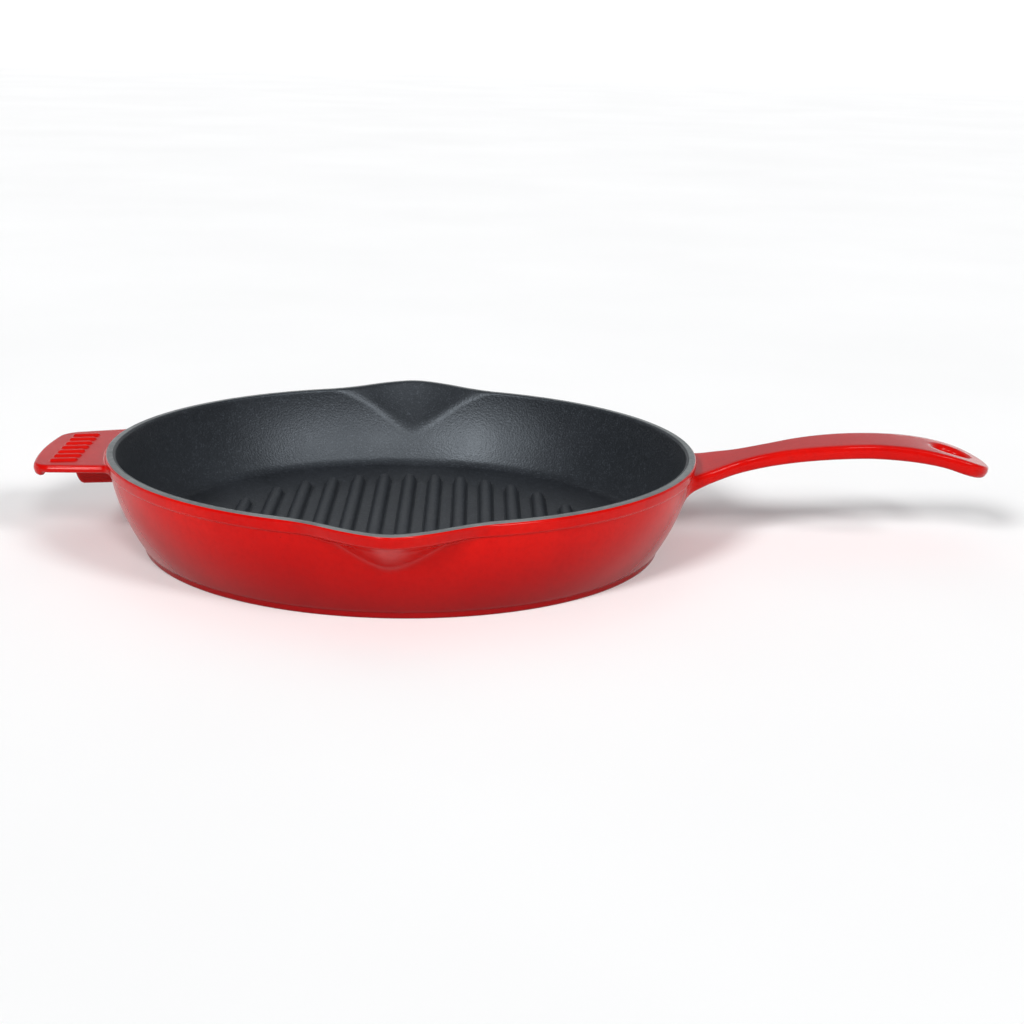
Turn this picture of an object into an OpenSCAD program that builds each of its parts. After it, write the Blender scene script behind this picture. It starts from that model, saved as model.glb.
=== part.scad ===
/* [Bowl] */
// Outer diameter of the rim
rim_d = 280; // [240:1:320]
// Outer diameter of the wall where it meets the base
base_d = 243.8; // [236:0.2:248]
// Height from the resting face to the top of the rim
bowl_h = 45.4; // [40:0.2:60]
// Radial thickness of the wall, with its enamel
wall_t = 3.7; // [3:0.1:6]
// Thickness of the floor, with its enamel
floor_t = 5.6; // [4:0.1:8]
// Fillet between the floor and the wall, inside
fillet_r = 7; // [5:0.5:10]
// How fast the wall spreads as it leaves the base
wall_lean = 0.685; // [0.6:0.005:0.75]
// How fast that spread dies out towards the rim
wall_bend = 0.00685; // [0.006:0.00005:0.0075]
// Height of the foot ring that the bowl rests on
foot_h = 2.6; // [2:0.1:4]
// Thickness of each coat of enamel
coat = 0.4; // [0.3:0.05:0.6]

/* [Collar and rim] */
// Height of the raised collar below the rim
collar_h = 6.2; // [4:0.1:9]
// Rounding of the collar's edges
collar_edge = 0.8; // [0.5:0.1:1.2]
// How far the grey coat of the rim stops short of the outer edge
rim_inset = 0.6; // [0.3:0.1:1.2]

/* [Pour lips] */
// How far each lip stands out past the rim circle
lip_out = 17.5; // [8:0.5:22]
// Half of the lip's width along the rim, without its blends
lip_w = 30; // [22:1:40]
// The same half width on the bulge under the collar
bulge_w = 23.4; // [20:0.2:26]
// Radius that rounds the lip's nose
lip_nose = 7; // [4:0.5:10]
// Depth of the pouring groove inside
lip_depth = 22; // [16:1:28]
// Height of the bulge under the collar, outside
lip_bulge = 15.4; // [10:0.2:20]
// How much the nose rises above the rim
lip_rise = 0.5; // [0:0.1:2]

/* [Grill ribs] */
// Number of ribs
rib_n = 13; // [5:2:15]
// Distance from rib to rib
rib_pitch = 13.4; // [10:0.1:15]
// Width of a rib at the floor
rib_w = 6.8; // [4:0.1:8]
// Height of a rib above the floor
rib_h = 3.6; // [2:0.1:6]
// Radius of the circle that the ribs end on
rib_circle_r = 89.5; // [84:0.5:100]

/* [Long handle] */
// Distance from the bowl's axis to the handle's tip
handle_reach = 282.4; // [280:0.2:286]
// Rounding of the handle's edges
handle_edge = 1.8; // [1:0.1:2.5]
// Diameter of the hanging hole
hole_d = 16; // [10:0.5:20]
// Distance from the bowl's axis to the hanging hole
hole_x = 264; // [258:0.5:266]

/* [Helper handle] */
// Distance from the bowl's axis to the outer edge of the plate
helper_reach = 172.8; // [168:0.2:180]
// Half width of the plate, halfway along
helper_half_w = 36.2; // [34:0.2:42]
// Angle at which each side of the plate spreads towards the bowl
helper_taper = 8.5; // [0:0.5:12]
// Angle by which the handle drops away from the bowl
helper_droop = 2.8; // [0:0.1:5]
// Radius of the plate's outer corners
helper_corner_r = 11; // [8:1:18]
// Thickness of the plate
helper_t = 3.6; // [3:0.2:6]
// How far the plate's top lies below the rim
helper_drop = 4; // [3:0.5:6]
// Depth of the turned-down edge below the plate
helper_lip_h = 2; // [0.8:0.2:4]
// Thickness of the turned-down edge
helper_lip_t = 4; // [3:0.5:6]
// Depth of the gusset below the plate
gusset_h = 11.6; // [6:0.2:13]
// Half width of the gusset
gusset_half_w = 12; // [6:1:16]
// Number of raised grip bars
bar_n = 7; // [3:1:9]

/* [Hidden] */

iron = "dimgray";
red = "crimson";
black = [0.12, 0.13, 0.14];
grey = [0.45, 0.46, 0.46];

round_fn = 96;               // every true curve of the bowl
rim_r = rim_d / 2;
base_r = base_d / 2;
collar_z = bowl_h - collar_h;
top_z = bowl_h - coat;       // the iron stops here, under the rim's coat
lip_half_angle = 22;         // each pour lip takes this much of the circle, both ways
lip_step = 2;                // angle between two sections of a lip
side_step = 4;               // angle between two sections of the rim coat elsewhere
front_angle = -90;
rear_angle = 90;
collar_slope = 60;           // height over which the collar would lose the lip again
undercut_h = 2.4;            // height under the collar in which the lip narrows to its bulge
crease = 0.14;               // softness of the lip's crease on the wall
rim_crease = 0.42;           // softness of that crease up at the rim
crease_z = bowl_h - 10.6;    // below this height the crease is at its sharpest
rise_z = bowl_h - lip_depth; // the nose's rise fades out down to here

// The wall's outer face, coat included
function wall_r(z) = base_r + wall_lean * z - wall_bend * z * z;
// The wall's inner face, coat included
function inner_r(z) = wall_r(z) - wall_t;

// The inner fillet's arc ends where it has turned to the wall's own slope
arc_guess_z = floor_t + fillet_r / 2;
arc_end = 90 - atan(wall_lean - 2 * wall_bend * arc_guess_z);
arc_end_z = floor_t + fillet_r * (1 - cos(arc_end));
floor_r = inner_r(arc_end_z) - fillet_r * sin(arc_end);
arc_n = 3;                   // steps in the fillet
wall_n = 14;                 // steps up the wall, below the collar
inner_n = wall_n + 4 - arc_n; // steps up the wall, inside, so that both chains match
arc_z = floor_t + fillet_r;

// Profiles as lists of [radius, height], all from the base up.
// The inner ones: k-th point of the lining lies on the k-th point of the iron.
function inner_chain(depth) = concat(
    [for (i = [0:arc_n]) let (a = i * arc_end / arc_n)
        [floor_r + (fillet_r + depth) * sin(a), arc_z - (fillet_r + depth) * cos(a)]],
    [for (i = [1:inner_n]) let (z = arc_end_z + i * (top_z - arc_end_z) / inner_n)
        [inner_r(z) + depth, z]]);
// The outer ones, with the collar's own heights at the end
function outer_z() = concat(
    [for (i = [0:wall_n]) foot_h + i * (collar_z - foot_h) / wall_n],
    [collar_z + collar_edge, top_z - collar_edge, top_z]);
function iron_outer_chain() = concat(
    [[floor_r, foot_h]],
    [for (z = outer_z()) [wall_r(z) - coat, z]]);
iron_outer = iron_outer_chain();
iron_inner = inner_chain(coat);
lining_inner = inner_chain(0);
// The red coat's two faces, from the foot to the collar
red_inner = [for (i = [1:wall_n + 1]) iron_outer[i]];
red_outer = [for (p = red_inner) [p[0] + coat, p[1]]];
// The collar's two faces
collar_inner = [for (i = [wall_n + 1:wall_n + 4]) iron_outer[i]];
collar_outer = [[wall_r(collar_z), collar_z], [rim_r - rim_inset, collar_z + collar_edge],
                [rim_r, top_z - collar_edge], [rim_r - rim_inset, top_z]];
// The rim coat's two faces
rim_outer = [[rim_r - rim_inset, top_z], [rim_r - rim_inset - coat / 2, bowl_h]];
rim_inner = [[inner_r(top_z), top_z], [inner_r(top_z) + coat, bowl_h]];

// Zero below -e, s above e, and a smooth curve between
function ramp(s, e) = s < -e ? 0 : s > e ? s : (s + e) * (s + e) / (4 * e);
function clamp01(t) = min(1, max(0, t));
function softness(z) =
    crease + (rim_crease - crease) * pow(clamp01((z - crease_z) / (bowl_h - crease_z)), 2);
// The lip's fall-off along the rim, from 1 at its nose
function fall_off(u, w) = 1 + (lip_nose - sqrt(u * u + lip_nose * lip_nose)) / w;
function along(u) = fall_off(u, lip_w);
function fall_in(z) = (bowl_h - z) / lip_depth;
function fall_out(z) = z > collar_z ? (bowl_h - z) / collar_slope
    : collar_h / collar_slope + (collar_z - z) / lip_bulge;
// How far a lip pushes the wall's inner and outer faces out
function push_in(u, z) = lip_out * ramp(along(u) - fall_in(z), softness(z));
// Under the collar the outside narrows to the bulge
function outer_w(z) = bulge_w + (lip_w - bulge_w) * clamp01(1 - (collar_z - z) / undercut_h);
function push_out(u, z) = lip_out * ramp(fall_off(u, outer_w(z)) - fall_out(z), softness(z));
function lift(u, z) = lip_rise * ramp(along(u), rim_crease) * clamp01((z - rise_z) / (bowl_h - rise_z));

// One section of a face in 3D, at an angle off the lip's middle
function ring(chain, middle, off, inside) = [for (p = chain)
    let (u = rim_r * off * PI / 180,
         r = p[0] + (inside ? push_in(u, p[1]) : push_out(u, p[1])))
    [r * cos(middle + off), r * sin(middle + off), p[1] + lift(u, p[1])]];
function lip_rings(chain, middle, inside) =
    [for (off = [-lip_half_angle:lip_step:lip_half_angle]) ring(chain, middle, off, inside)];

// A solid between two faces, each a list of sections with the same number of points.
// The ends are strips of triangles, so a section may be hollowed to any curve.
module between(outer, inner, closed = false) {
    n = len(outer);
    m = len(outer[0]);
    wraps = closed ? n : n - 1;
    half = n * m;
    function o(i, k) = (i % n) * m + k;
    function w(i, k) = half + (i % n) * m + k;
    skin = [for (i = [0:wraps - 1], k = [0:m - 2]) each [
        [o(i, k), o(i + 1, k + 1), o(i + 1, k)], [o(i, k), o(i, k + 1), o(i + 1, k + 1)],
        [w(i, k), w(i + 1, k), w(i + 1, k + 1)], [w(i, k), w(i + 1, k + 1), w(i, k + 1)]]];
    edges = [for (i = [0:wraps - 1]) each [
        [o(i, 0), o(i + 1, 0), w(i + 1, 0)], [o(i, 0), w(i + 1, 0), w(i, 0)],
        [o(i, m - 1), w(i + 1, m - 1), o(i + 1, m - 1)], [o(i, m - 1), w(i, m - 1), w(i + 1, m - 1)]]];
    ends = closed ? [] : [for (k = [0:m - 2]) each [
        [o(0, k), w(0, k), w(0, k + 1)], [o(0, k), w(0, k + 1), o(0, k + 1)],
        [o(n - 1, k), w(n - 1, k + 1), w(n - 1, k)], [o(n - 1, k), o(n - 1, k + 1), w(n - 1, k + 1)]]];
    polyhedron(concat([for (r = outer) each r], [for (r = inner) each r]),
               concat(skin, edges, ends), convexity = 8);
}

// The same section as a true solid of revolution, over the stretch beside the lips
module side(outer, inner, start) {
    span = 180 - 2 * lip_half_angle;
    rotate([0, 0, start]) rotate_extrude(angle = span, $fn = round_fn)
        polygon(concat(outer, [for (i = [len(inner) - 1:-1:0]) inner[i]]));
}
module right_side(outer, inner) { side(outer, inner, front_angle + lip_half_angle); }
module left_side(outer, inner) { side(outer, inner, rear_angle + lip_half_angle); }
module lip(outer, inner, middle, outer_inside = false, inner_inside = true) {
    between(lip_rings(outer, middle, outer_inside), lip_rings(inner, middle, inner_inside));
}
module both_sides(outer, inner) {
    left_side(outer, inner);
    right_side(outer, inner);
}
module both_lips(outer, inner, outer_inside, inner_inside) {
    for (middle = [front_angle, rear_angle])
        lip(outer, inner, middle, outer_inside, inner_inside);
}

// Floor: an iron disc between two coats, on a foot ring
module base_plate() {
    color(iron) translate([0, 0, coat]) cylinder(r = floor_r, h = floor_t - 2 * coat, $fn = round_fn);
}
module base_enamel() {
    color(red) cylinder(r = floor_r, h = coat, $fn = round_fn);
}
foot_edge = 0.8;
foot_inset = 0.3;
module foot_ring() {
    foot_r = wall_r(foot_h) - foot_inset;
    color(iron) rotate_extrude($fn = round_fn)
        polygon([[floor_r, 0], [foot_r - foot_edge, 0], [foot_r, foot_edge],
                 [foot_r, foot_h - foot_edge / 2], [foot_r - foot_edge / 2, foot_h],
                 [floor_r, foot_h]]);
}
function rib_x(i) = (i - (rib_n - 1) / 2) * rib_pitch;
// Half the straight length of a rib, so that its round end lies on the circle
function rib_half(i) = sqrt(pow(rib_circle_r - rib_w / 2, 2) - pow(rib_x(i), 2));
module rib_footprint(half) {
    square([rib_w, 2 * half], center = true);
    for (s = [-1, 1]) translate([0, s * half]) circle(d = rib_w, $fn = round_fn);
}
module floor_enamel() {
    color(black) translate([0, 0, floor_t - coat]) difference() {
        cylinder(r = floor_r, h = coat, $fn = round_fn);
        for (i = [0:rib_n - 1]) translate([rib_x(i), 0, -coat])
            linear_extrude(3 * coat) rib_footprint(rib_half(i));
    }
}
// Half of a rib's section: steep flanks under a rounded crown
function rib_section() = concat(
    [[0, 0], [rib_w / 2, 0], [rib_w / 2, coat]],
    [for (a = [10:16:90]) [rib_w / 2 * pow(cos(a), 0.6), coat + rib_h * pow(sin(a), 0.75)]]);
module rib(half) {
    section = rib_section();
    mirrored = [for (i = [len(section) - 1:-1:1]) [-section[i][0], section[i][1]]];
    rotate([90, 0, 0]) translate([0, 0, -half]) linear_extrude(2 * half)
        polygon(concat(section, mirrored));
    for (s = [-1, 1]) translate([0, s * half, 0])
        rotate_extrude($fn = round_fn) polygon(section);
}
module grill_ribs() {
    color(black) for (i = [0:rib_n - 1])
        translate([rib_x(i), 0, floor_t - coat]) rib(rib_half(i));
}

// Iron wall in four stretches
module left_wall() { color(iron) left_side(iron_outer, iron_inner); }
module right_wall() { color(iron) right_side(iron_outer, iron_inner); }
module front_pour_lip() { color(iron) lip(iron_outer, iron_inner, front_angle); }
module rear_pour_lip() { color(iron) lip(iron_outer, iron_inner, rear_angle); }

// Coats and collar
module inner_enamel() { color(black) both_sides(iron_inner, lining_inner); }
module lip_linings() { color(black) both_lips(iron_inner, lining_inner, true, true); }
module outer_enamel() { color(red) both_sides(red_outer, red_inner); }
module lip_enamel() { color(red) both_lips(red_outer, red_inner, false, false); }
module rim_collar() { color(red) both_sides(collar_outer, collar_inner); }
module lip_collars() { color(red) both_lips(collar_outer, collar_inner, false, false); }
module rim_coat() {
    // Angle past the front lip's middle, then the lip it belongs to and the angle off it
    steps = concat([for (a = [-lip_half_angle:lip_step:lip_half_angle]) a],
                   [for (a = [lip_half_angle + side_step:side_step:180 - lip_half_angle - side_step]) a]);
    outer = [for (m = [front_angle, rear_angle], a = steps) ring(rim_outer, m, a, false)];
    inner = [for (m = [front_angle, rear_angle], a = steps) ring(rim_inner, m, a, true)];
    color(grey) between(outer, inner, closed = true);
}

// The bowl's outside as one solid of revolution, which the handles are trimmed to
module bowl_envelope() {
    rotate_extrude($fn = round_fn) polygon(concat(
        [[0, foot_h]], red_outer, collar_outer, [[0, top_z]]));
}

// Long handle: [distance out, half width, height of the top, thickness]
handle_stations = [
    [138, 24, 39, 7.4],
    [145, 20, 40.3, 6.4],
    [152, 16.6, 42.1, 6.2],
    [161, 12.6, 44.3, 6.4],
    [175, 11, 47.6, 6.8],
    [191, 12.6, 50.6, 6.9],
    [208, 14.1, 52.5, 6.9],
    [224, 14.3, 53.3, 7.1],
    [240, 15.9, 52.7, 7],
    [252, 17.7, 51.1, 6.6],
    [260, 18.8, 49.4, 6.4],
    [266, 19, 47.8, 6.7],
    [273, 19, 45.5, 6.7],
    [handle_reach, 19, 41.8, 6.2]];
root_end = 152;
paddle_x = 266;              // past here the sides close in on the tip
tip_power = 2.3;             // squareness of the tip, where 2 is an ellipse
tip_half_w = 3;              // half width of the last section
station_step = 3;
edge_points = 5;

// Smooth curve through column c of the stations, at distance x
function tangent(i, c) = let (a = max(0, i - 1), b = min(len(handle_stations) - 1, i + 1))
    (handle_stations[b][c] - handle_stations[a][c]) / (handle_stations[b][0] - handle_stations[a][0]);
function station_before(x, i = 0) =
    i >= len(handle_stations) - 2 || handle_stations[i + 1][0] > x ? i : station_before(x, i + 1);
function handle_at(x, c) =
    let (i = station_before(x),
         d = handle_stations[i + 1][0] - handle_stations[i][0],
         t = (x - handle_stations[i][0]) / d)
    handle_stations[i][c] * (2 * t * t * t - 3 * t * t + 1)
    + tangent(i, c) * d * (t * t * t - 2 * t * t + t)
    + handle_stations[i + 1][c] * (3 * t * t - 2 * t * t * t)
    + tangent(i + 1, c) * d * (t * t * t - t * t);
// The handle's half width, with the tip closed by a superellipse
function handle_half(x) = x <= paddle_x ? handle_at(x, 1)
    : max(tip_half_w, handle_at(paddle_x, 1)
        * pow(1 - pow((x - paddle_x) / (handle_reach - paddle_x), tip_power), 1 / tip_power));
// One section square across the handle: a rectangle with rounded corners
function handle_ring(x) =
    let (half_w = handle_half(x), top = handle_at(x, 2), thick = handle_at(x, 3),
         e = min(handle_edge, thick / 2 - 0.2, half_w - 0.2),
         climb = atan(handle_at(x + 0.5, 2) - handle_at(x - 0.5, 2)))
    [for (corner = [0:3], j = [0:edge_points - 1])
        let (a = corner * 90 + j * 90 / (edge_points - 1),
             side_y = corner == 0 || corner == 3 ? 1 : -1,
             side_z = corner < 2 ? 1 : -1,
             down = thick / 2 - side_z * (thick / 2 - e) - e * sin(a))
        [x + down * sin(climb), side_y * (half_w - e) + e * cos(a), top - down * cos(climb)]];
module loft(rings) {
    n = len(rings);
    m = len(rings[0]);
    sides = [for (i = [0:n - 2], k = [0:m - 1]) let (l = (k + 1) % m) each [
        [i * m + k, (i + 1) * m + k, (i + 1) * m + l], [i * m + k, (i + 1) * m + l, i * m + l]]];
    polyhedron([for (r = rings) each r],
               concat([[for (k = [0:m - 1]) k]], sides, [[for (k = [m - 1:-1:0]) (n - 1) * m + k]]),
               convexity = 4);
}
module hanging_hole() {
    translate([hole_x, 0, foot_h]) cylinder(d = hole_d, h = rim_r, $fn = round_fn);
}
module long_handle() {
    xs = concat([for (x = [root_end:station_step:handle_reach - 6]) x],
                [for (i = [5:-1:0]) handle_reach - i * 0.9]);
    color(red) difference() {
        loft([for (x = xs) handle_ring(x)]);
        hanging_hole();
    }
}
module handle_root() {
    color(red) difference() {
        loft([for (x = [rim_r - 14:2:root_end]) handle_ring(x)]);
        bowl_envelope();
    }
}

// Helper handle, modelled level and then tipped
helper_top = bowl_h - helper_drop;
helper_mid = helper_reach - 17;
bar_pitch = 8.4;
bar_w = 3.6;
bar_l = 13;
bar_h = 1.1;
bar_x = helper_reach - 16;
helper_lip_run = 7.6;        // the lip follows the outer edge and ends partway round each corner
gusset_out = 157;
gusset_taper = 3;
corner_steps = 8;
edge_steps = 10;
// Angle off the X axis of a corner's centre, on a plate that is smaller by an inset
function corner_off(inset) =
    let (r = helper_corner_r - inset,
         side = (helper_half_w - inset / cos(helper_taper) + helper_mid * tan(helper_taper))
                * cos(helper_taper) - r)
    asin(side / (helper_reach - helper_corner_r)) - helper_taper;
// The plate's outline: an arc about the bowl's axis, a round corner and a side that spreads
function helper_side(inset, mirror_y) =
    let (r = helper_corner_r - inset, off = corner_off(inset),
         c = (helper_reach - helper_corner_r) * [-cos(off), sin(off)],
         spread = (helper_mid - base_r) * tan(helper_taper),
         points = concat(
            [for (i = [0:edge_steps - 1]) let (a = off * i / edge_steps)
                (helper_reach - inset) * [-cos(a), sin(a)]],
            [for (i = [0:corner_steps]) let (a = 180 - off - (90 - off - helper_taper) * i / corner_steps)
                c + r * [cos(a), sin(a)]],
            [[-base_r, helper_half_w - inset / cos(helper_taper) + spread]]))
    [for (p = points) [p[0], mirror_y * p[1]]];
module helper_outline(inset = 0) {
    left = helper_side(inset, 1);
    right = helper_side(inset, -1);
    polygon(concat(left, [for (i = [len(right) - 1:-1:1]) right[i]]));
}
module tipped() {
    translate([-helper_mid, 0, helper_top]) rotate([0, -helper_droop, 0])
        translate([helper_mid, 0, 0]) children();
}
module helper_handle() {
    color(red) difference() {
        tipped() translate([0, 0, -helper_t]) linear_extrude(helper_t) helper_outline();
        bowl_envelope();
    }
}
module helper_lip() {
    color(red) tipped() translate([0, 0, -helper_t - helper_lip_h]) linear_extrude(helper_lip_h)
        intersection() {
            difference() {
                helper_outline();
                helper_outline(helper_lip_t);
            }
            translate([-helper_reach, -helper_half_w]) square([helper_lip_run, 2 * helper_half_w]);
        }
}
module helper_gusset() {
    low = -helper_t - gusset_h;
    color(red) difference() {
        tipped() translate([0, gusset_half_w, 0]) rotate([90, 0, 0]) linear_extrude(2 * gusset_half_w)
            polygon([[-gusset_out, -helper_t], [gusset_taper - gusset_out, low],
                     [-base_r, low], [-base_r, -helper_t]]);
        bowl_envelope();
    }
}
module helper_grip_bars() {
    color(red) tipped() for (i = [0:bar_n - 1]) translate([-bar_x, (i - (bar_n - 1) / 2) * bar_pitch, 0])
        linear_extrude(bar_h) {
            square([bar_l - bar_w, bar_w], center = true);
            for (s = [-1, 1]) translate([s * (bar_l - bar_w) / 2, 0]) circle(d = bar_w, $fn = 32);
        }
}

base_plate();
base_enamel();
foot_ring();
floor_enamel();
grill_ribs();
left_wall();
right_wall();
front_pour_lip();
rear_pour_lip();
inner_enamel();
lip_linings();
outer_enamel();
lip_enamel();
rim_collar();
lip_collars();
rim_coat();
long_handle();
handle_root();
helper_handle();
helper_lip();
helper_gusset();
helper_grip_bars();
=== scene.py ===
"""Enamelled cast iron grill skillet: visual pieces, materials, light and camera round the CAD frame.

Lengths are in millimetres until new_piece() turns them into metres.
"""
import math

import bmesh
import bpy
import numpy as np
from mathutils import Matrix, Vector


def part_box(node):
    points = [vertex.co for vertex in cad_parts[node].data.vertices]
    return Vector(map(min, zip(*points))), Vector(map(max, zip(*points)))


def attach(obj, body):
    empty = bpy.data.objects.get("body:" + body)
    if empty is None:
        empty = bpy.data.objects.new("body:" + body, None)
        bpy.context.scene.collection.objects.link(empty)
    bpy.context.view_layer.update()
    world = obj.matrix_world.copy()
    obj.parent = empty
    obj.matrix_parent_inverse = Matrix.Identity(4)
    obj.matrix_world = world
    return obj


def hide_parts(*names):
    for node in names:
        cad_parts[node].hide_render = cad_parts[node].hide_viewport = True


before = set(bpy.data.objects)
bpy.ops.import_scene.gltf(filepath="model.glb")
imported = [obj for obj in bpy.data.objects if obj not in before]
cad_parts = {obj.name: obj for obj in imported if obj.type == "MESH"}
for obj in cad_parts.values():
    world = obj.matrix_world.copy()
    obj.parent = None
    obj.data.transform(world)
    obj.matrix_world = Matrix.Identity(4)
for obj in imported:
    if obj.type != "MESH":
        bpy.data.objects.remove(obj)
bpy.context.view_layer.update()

MM = 0.001
BODY = "root"
WELD, SLIVER = 2e-6, 1e-6                      # m: points closer than this merge, and shorter edges go


def high(node):
    """A CAD node's highest corner, in mm."""
    return [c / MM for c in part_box(node)[1]]


# ---------------------------------------------------------------- driving dimensions
COAT = 0.4                                     # thickness of a coat of enamel in the CAD frame
RIM_R = high("rim_collar")[0]                  # outer radius of the collar
TOP_Z = high("rim_collar")[2] + COAT           # top of the rim, over its ground coat
FLOOR_Z = high("floor_enamel")[2]
FLOOR_R = high("floor_enamel")[0]              # where the floor starts to curve up
FOOT_H = high("foot_ring")[2]
FOOT_INSET = 0.3                               # how far the foot stands in from the wall over it
BASE_R = 121.9                                 # the wall's outer radius, run down to the resting plane
WALL_LEAN, WALL_BEND = 0.685, 0.00685          # the wall's spread with height
WALL_T = 3.7                                   # radial thickness of the wall
FILLET_R = 7.0                                 # fillet between the floor and the wall, inside
COLLAR_Z = TOP_Z - 6.2                         # lower edge of the raised collar
SKIN = 0.35                                    # thickness of the visual skins of enamel
LIP_OUT, LIP_W, LIP_NOSE = 17.45, 30.0, 7.0    # reach, half width and nose radius of a pour lip
BULGE_W, UNDERCUT_H = 23.4, 2.4                # half width of its bulge, and the height it narrows to it in
LIP_DEPTH, LIP_BULGE, LIP_RISE = 22.0, 15.4, 0.5  # height of its groove and of its bulge, and its nose's rise
RIM_ROUND = 1.05                               # rounding of the rim's inner edge
GREY_FROM = 1.3                                # how far over that rounding the black reaches
LINING_TOP = TOP_Z - 1.3                       # where the wall's inner face gives way to that rounding
COLLAR_ROUND = 1.6                             # rounding of the collar's top edge
CREASE, RIM_CREASE = 0.14, 0.42                # softness of the lip's edge, low on the wall and at the rim
SOFT_DEPTH = 10.6                              # how far below the rim that edge starts to soften
COLLAR_SLOPE = 60.0                            # height over which the lip would die out on the collar


def wall_r(z):
    """Outer radius of the wall at a height."""
    return BASE_R + WALL_LEAN * z - WALL_BEND * z * z


def inner_r(z):
    return wall_r(z) - WALL_T


# ---------------------------------------------------------------- pour lips
def ramp(s, e):
    """Zero below -e, s above e, and a smooth curve between."""
    return np.where(s < -e, 0.0, np.where(s > e, s, (s + e) ** 2 / (4 * e)))


def softness(z):
    """How softly the lip's edge runs into the wall at a height."""
    sharp_z = TOP_Z - SOFT_DEPTH
    t = np.clip((z - sharp_z) / (TOP_Z - sharp_z), 0, 1)
    return CREASE + (RIM_CREASE - CREASE) * t * t


def along(u, w=LIP_W):
    """The lip's fall-off along the rim, from 1 at its nose."""
    return 1 + (LIP_NOSE - np.sqrt(u * u + LIP_NOSE ** 2)) / w


def lip_push(u, z, inside):
    """How far a lip moves the wall outwards, u along the rim from its nose."""
    if inside:
        return LIP_OUT * ramp(along(u) - (TOP_Z - z) / LIP_DEPTH, softness(z))
    collar = np.minimum(TOP_Z - z, TOP_Z - COLLAR_Z)
    fall = collar / COLLAR_SLOPE + np.maximum(COLLAR_Z - z, 0) / LIP_BULGE
    # Under the collar the lip narrows to its bulge
    width = BULGE_W + (LIP_W - BULGE_W) * np.clip(1 - (COLLAR_Z - z) / UNDERCUT_H, 0, 1)
    return LIP_OUT * ramp(along(u, width) - fall, softness(z))


def place(theta, r, z, inside):
    """Points of the bowl from angle, radius and height, with a lip at both ends of Y."""
    u = RIM_R * ((theta + math.pi) % math.pi - math.pi / 2)
    out = r + lip_push(u, z, inside)
    rise = LIP_RISE * ramp(along(u), RIM_CREASE) * np.clip((z - TOP_Z + LIP_DEPTH) / LIP_DEPTH, 0, 1)
    return np.stack([out * np.cos(theta), out * np.sin(theta), z + rise], -1)


def bowl_angles():
    """Angles round the bowl, finer across the lips."""
    half, fine, coarse = 24, 0.5, 1.5
    steps = np.concatenate([np.arange(-half, half, fine), np.arange(half, 180 - half, coarse)])
    return np.radians(np.concatenate([steps - 90, steps + 90]))


# ---------------------------------------------------------------- meshes
class Shell:
    """Points and faces of one piece, built up from grids that may share points."""

    def __init__(self):
        self.points = []
        self.faces = []

    def add(self, points):
        """Adds points and returns their numbers."""
        start = len(self.points)
        self.points += [tuple(float(c) for c in p) for p in points]
        return list(range(start, len(self.points)))

    def grid(self, rows, wrap=False):
        """Quads between rows of point numbers; wrap joins each row's end to its start."""
        for a, b in zip(rows, rows[1:]):
            n = len(a)
            for k in range(n if wrap else n - 1):
                j = (k + 1) % n
                self.faces.append((a[k], a[j], b[j], b[k]))

    def patch(self, top, bottom, left, right, settle=None):
        """Fills the space inside four sides; each runs corner to corner, and settle may move new points."""
        def at(i):
            return np.array(self.points[i])
        n, m = len(top), len(left)
        rows = [top]
        for i in range(1, m - 1):
            v = i / (m - 1)
            row = [left[i]]
            for j in range(1, n - 1):
                u = j / (n - 1)
                p = ((1 - v) * at(top[j]) + v * at(bottom[j]) + (1 - u) * at(left[i]) + u * at(right[i])
                     - (1 - u) * (1 - v) * at(top[0]) - u * (1 - v) * at(top[-1])
                     - (1 - u) * v * at(bottom[0]) - u * v * at(bottom[-1]))
                row += self.add([settle(p) if settle else p])
            rows.append(row + [right[i]])
        self.grid(rows + [bottom])


def new_piece(name, shell, mat, replaced):
    """A closed smooth mesh that rides on the body, in place of CAD nodes."""
    mesh = bpy.data.meshes.new(name)
    mesh.from_pydata([tuple(c * MM for c in p) for p in shell.points], [], shell.faces)
    bm = bmesh.new()
    bm.from_mesh(mesh)
    bmesh.ops.remove_doubles(bm, verts=bm.verts, dist=WELD)
    bmesh.ops.dissolve_degenerate(bm, edges=bm.edges, dist=SLIVER)
    bmesh.ops.recalc_face_normals(bm, faces=bm.faces)
    for face in bm.faces:
        face.smooth = True
    bm.to_mesh(mesh)
    bm.free()
    mesh.materials.append(mat)
    piece = bpy.data.objects.new(name, mesh)
    bpy.context.scene.collection.objects.link(piece)
    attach(piece, BODY)
    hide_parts(*replaced)
    return piece


def arc(cx, cz, radius, start, end, n):
    """n points along an arc in the section plane, between two angles in degrees."""
    return [[cx + radius * math.cos(a), cz + radius * math.sin(a)]
            for a in np.radians(np.linspace(start, end, n))]


def beside(profile, distance):
    """A profile moved to its left by a distance."""
    p = np.array(profile, float)
    t = np.gradient(p, axis=0)
    t /= np.linalg.norm(t, axis=1)[:, None]
    return p + distance * np.stack([-t[:, 1], t[:, 0]], -1)


# ---------------------------------------------------------------- material nodes
def new_material(name):
    mat = bpy.data.materials.new(name)
    mat.use_nodes = True
    nodes = mat.node_tree.nodes
    return mat, nodes, mat.node_tree.links, nodes["Principled BSDF"]


def noise(nodes, links, coords, scale, detail=2.0, rough=0.5):
    """Fractal noise, from 0 to 1; scale counts its swells in a metre."""
    node = nodes.new("ShaderNodeTexNoise")
    node.inputs["Scale"].default_value = scale
    node.inputs["Detail"].default_value = detail
    node.inputs["Roughness"].default_value = rough
    links.new(coords, node.inputs["Vector"])
    return node.outputs["Fac"]


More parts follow.
